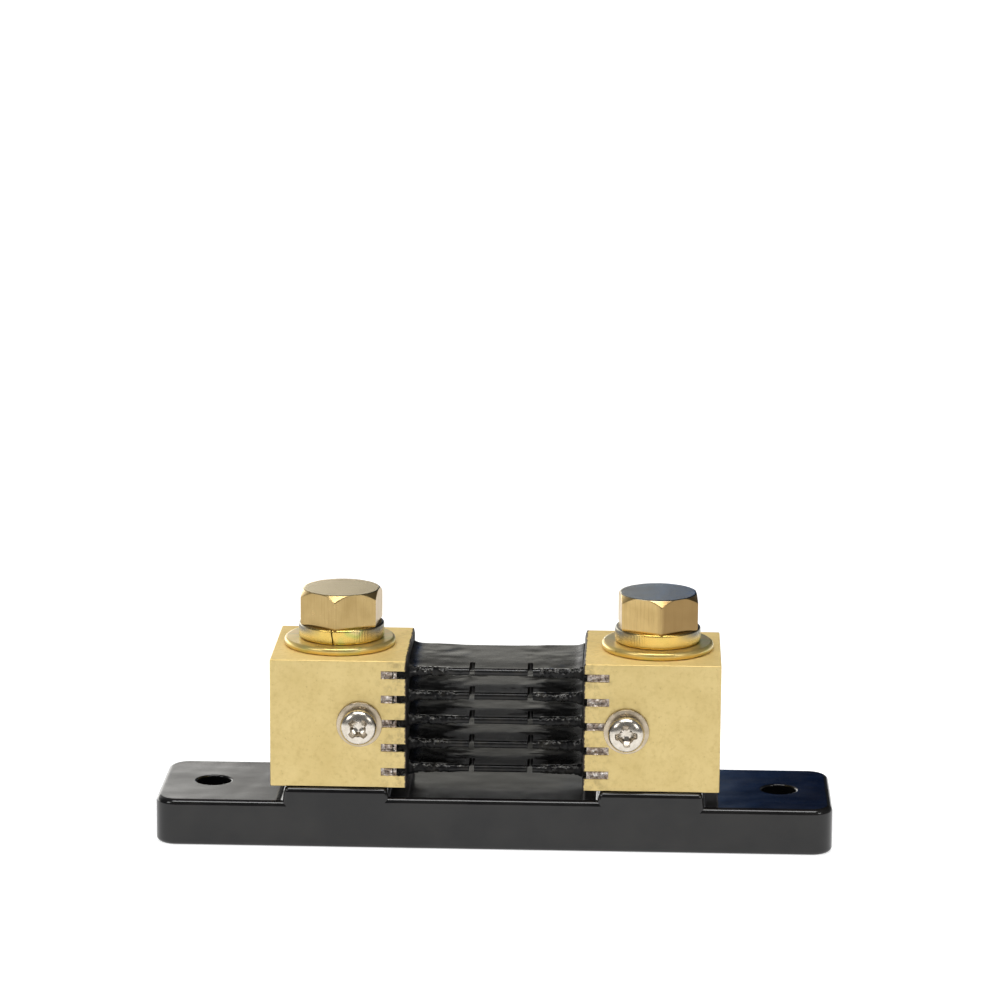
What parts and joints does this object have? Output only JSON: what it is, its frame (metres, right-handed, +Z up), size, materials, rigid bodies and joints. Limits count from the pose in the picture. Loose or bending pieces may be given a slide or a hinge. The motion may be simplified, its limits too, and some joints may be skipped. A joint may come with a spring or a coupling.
{
  "type": "current shunt",
  "caption": "Resistive current shunt: two brass terminal blocks on a moulded base, joined by slotted resistor strips, with bolts for cables and screws for sense wires.",
  "frame": {"origin": "middle of the base's flat underside", "axes": "+X along the base from the left terminal to the right one, +Y to the rear, away from the sense screws, +Z up through the terminal bolts"},
  "size_m": [0.1268, 0.0311, 0.0468],
  "materials": {
    "moulded_base": "glossy black thermoset moulding",
    "painted_strip": "manganin strip under thick glossy black paint",
    "block_brass": "fine-milled brass, slightly mottled",
    "bolt_brass": "turned and brushed brass",
    "yellow_zinc": "steel with iridescent yellow zinc plating",
    "solder": "dull grey solder",
    "screw_steel": "bright nickel-plated steel"
  },
  "bodies": {
    "shunt_body": {"base": "moulded_base", "resistor_strip_1": "painted_strip", "resistor_strip_2": "painted_strip", "resistor_strip_3": "painted_strip", "resistor_strip_4": "painted_strip", "resistor_strip_5": "painted_strip", "left_terminal_block": "block_brass", "left_solder_1": "solder", "left_solder_2": "solder", "left_solder_3": "solder", "left_solder_4": "solder", "left_solder_5": "solder", "left_base_screw_front": "screw_steel", "left_base_screw_rear": "screw_steel", "right_terminal_block": "block_brass", "right_solder_1": "solder", "right_solder_2": "solder", "right_solder_3": "solder", "right_solder_4": "solder", "right_solder_5": "solder", "right_base_screw_front": "screw_steel", "right_base_screw_rear": "screw_steel"},
    "left_terminal_washers": {"left_flat_washer": "yellow_zinc", "left_spring_washer": "yellow_zinc"},
    "left_terminal_bolt": {"left_terminal_bolt": "bolt_brass"},
    "left_sense_washers": {"left_sense_flat_washer": "screw_steel", "left_sense_spring_washer": "screw_steel"},
    "left_sense_screw": {"left_sense_screw": "screw_steel"},
    "right_terminal_washers": {"right_flat_washer": "yellow_zinc", "right_spring_washer": "yellow_zinc"},
    "right_terminal_bolt": {"right_terminal_bolt": "bolt_brass"},
    "right_sense_washers": {"right_sense_flat_washer": "screw_steel", "right_sense_spring_washer": "screw_steel"},
    "right_sense_screw": {"right_sense_screw": "screw_steel"}
  },
  "joints": [
    {"name": "left_terminal_lift", "type": "slide", "parent": "shunt_body", "child": "left_terminal_washers", "axis": [0, 0, 1], "range_m": [0, 0.01428]},
    {"name": "left_terminal_turn", "type": "hinge", "parent": "left_terminal_washers", "child": "left_terminal_bolt", "pos_m": [-0.0292, 0, 0.0404], "axis": [0, 0, 1], "range_deg": [0, 3240]},
    {"name": "left_sense_lift", "type": "slide", "parent": "shunt_body", "child": "left_sense_washers", "axis": [0, -1, 0], "range_m": [0, 0.0071]},
    {"name": "left_sense_turn", "type": "hinge", "parent": "left_sense_washers", "child": "left_sense_screw", "pos_m": [-0.02495, -0.0132, 0.0239], "axis": [0, -1, 0], "range_deg": [0, 3240]},
    {"name": "right_terminal_lift", "type": "slide", "parent": "shunt_body", "child": "right_terminal_washers", "axis": [0, 0, 1], "range_m": [0, 0.01428]},
    {"name": "right_terminal_turn", "type": "hinge", "parent": "right_terminal_washers", "child": "right_terminal_bolt", "pos_m": [0.0303, 0, 0.0404], "axis": [0, 0, 1], "range_deg": [0, 3240]},
    {"name": "right_sense_lift", "type": "slide", "parent": "shunt_body", "child": "right_sense_washers", "axis": [0, -1, 0], "range_m": [0, 0.0071]},
    {"name": "right_sense_turn", "type": "hinge", "parent": "right_sense_washers", "child": "right_sense_screw", "pos_m": [0.0247, -0.0132, 0.0233], "axis": [0, -1, 0], "range_deg": [0, 3240]}
  ],
  "couplings": [
    {"joint": "left_terminal_turn", "follows": "left_terminal_lift", "rad_per_m": 3957.9},
    {"joint": "left_sense_turn", "follows": "left_sense_lift", "rad_per_m": 7915.8},
    {"joint": "right_terminal_turn", "follows": "right_terminal_lift", "rad_per_m": 3957.9},
    {"joint": "right_sense_turn", "follows": "right_sense_lift", "rad_per_m": 7915.8}
  ]
}
